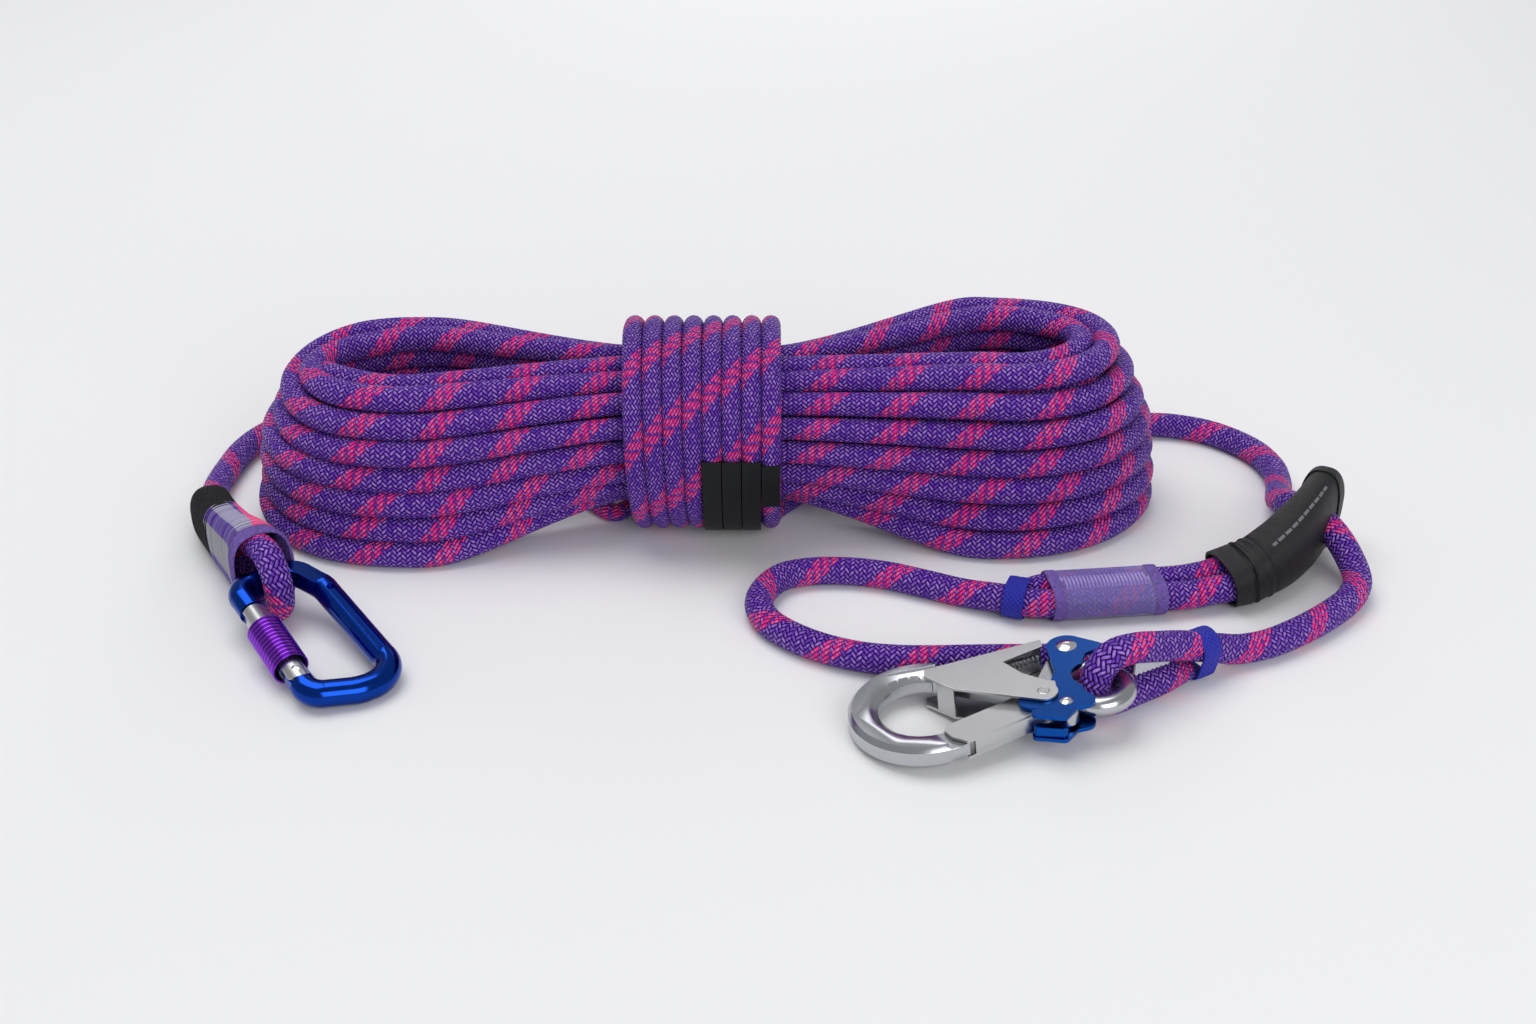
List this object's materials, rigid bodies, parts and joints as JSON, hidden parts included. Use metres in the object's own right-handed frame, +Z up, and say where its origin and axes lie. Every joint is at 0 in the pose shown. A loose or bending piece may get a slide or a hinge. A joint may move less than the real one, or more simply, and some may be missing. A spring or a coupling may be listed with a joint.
{
  "type": "dynamic climbing rope",
  "caption": "Braided climbing rope tied as a hank, with a screw-gate carabiner in one sewn eye and a double-action snap hook in the other.",
  "frame": {"origin": "middle of the part's bounding box at ground level", "axes": "+X along the hank from the carabiner end to the sleeve end, +Y from the connectors towards the back of the hank, +Z up"},
  "size_m": [0.4744, 0.261, 0.0871],
  "materials": {
    "rope_sheath": "matte",
    "black_tape": "satin",
    "black_fabric": "matte",
    "stitching": "satin",
    "clear_shrink_tube": "gloss",
    "blue_whipping": "matte",
    "grey_tape": "matte",
    "blue_anodised": "satin",
    "purple_anodised": "satin",
    "satin_silver": "satin",
    "steel": "satin"
  },
  "bodies": {
    "rope": {"hank": "rope_sheath", "waist_wrap": "rope_sheath", "long_tape_bands": "black_tape", "short_tape_band": "black_tape", "left_tail": "rope_sheath", "left_collar": "black_fabric", "left_stitching": "stitching", "left_shrink_tube": "clear_shrink_tube", "right_tail": "rope_sheath", "hook_whipping": "blue_whipping", "hook_eye_tag": "grey_tape", "lanyard_rope": "rope_sheath", "block_whipping": "blue_whipping", "block_stitching": "stitching", "block_shrink_tube": "clear_shrink_tube", "eye_sleeve": "black_fabric", "sleeve_mouth_cuff": "black_fabric", "sleeve_tip_cuff": "black_fabric"},
    "carabiner": {"carabiner_frame": "blue_anodised", "gate_rivet": "steel"},
    "carabiner_gate_body": {"carabiner_gate": "satin_silver", "gate_spring": "steel", "gate_plunger": "steel"},
    "screw_sleeve_body": {"screw_sleeve": "purple_anodised"},
    "snap_hook": {"hook_frame": "satin_silver", "housing_top_plate": "blue_anodised", "housing_bottom_plate": "blue_anodised", "thumb_bridge": "blue_anodised", "big_rivet": "steel", "small_rivet": "steel", "pivot_pin": "steel", "lever_spring": "steel"},
    "lock_lever_body": {"lock_lever": "satin_silver", "spring_anchor": "steel"},
    "hook_gate_body": {"hook_gate": "satin_silver"}
  },
  "joints": [
    {"name": "carabiner_swing", "type": "hinge", "parent": "rope", "child": "carabiner", "pos_m": [-0.1851, -0.0305, 0.0167], "axis": [-0.788, -0.6157, 0], "range_deg": [0, 90]},
    {"name": "carabiner_gate_hinge", "type": "hinge", "parent": "carabiner", "child": "carabiner_gate_body", "pos_m": [-0.16389, -0.08282, 0.0079], "axis": [-0.0985, 0.1261, -0.9871], "range_deg": [0, 17], "stiffness_Nm_per_rad": 0.15, "springref_deg": -20.05},
    {"name": "screw_sleeve_slide", "type": "slide", "parent": "carabiner_gate_body", "child": "screw_sleeve_body", "axis": [-0.5678, 0.8075, 0.1598], "range_m": [0, 0.009]},
    {"name": "hook_swing", "type": "hinge", "parent": "rope", "child": "snap_hook", "pos_m": [0.1236, -0.0928, 0.0152], "axis": [-0.5699, 0.8192, -0.0652], "range_deg": [0, 90]},
    {"name": "lock_lever_hinge", "type": "hinge", "parent": "snap_hook", "child": "lock_lever_body", "pos_m": [0.09708, -0.10654, 0.01216], "axis": [-0.1138, 0, 0.9935], "range_deg": [0, 6], "stiffness_Nm_per_rad": 0.4, "springref_deg": -11.46},
    {"name": "hook_gate_hinge", "type": "hinge", "parent": "snap_hook", "child": "hook_gate_body", "pos_m": [0.09708, -0.10654, 0.01216], "axis": [0.1138, 0, -0.9935], "range_deg": [0, 18]}
  ],
  "couplings": [
    {"joint": "hook_gate_hinge", "follows": "lock_lever_hinge", "ratio": 3}
  ]
}
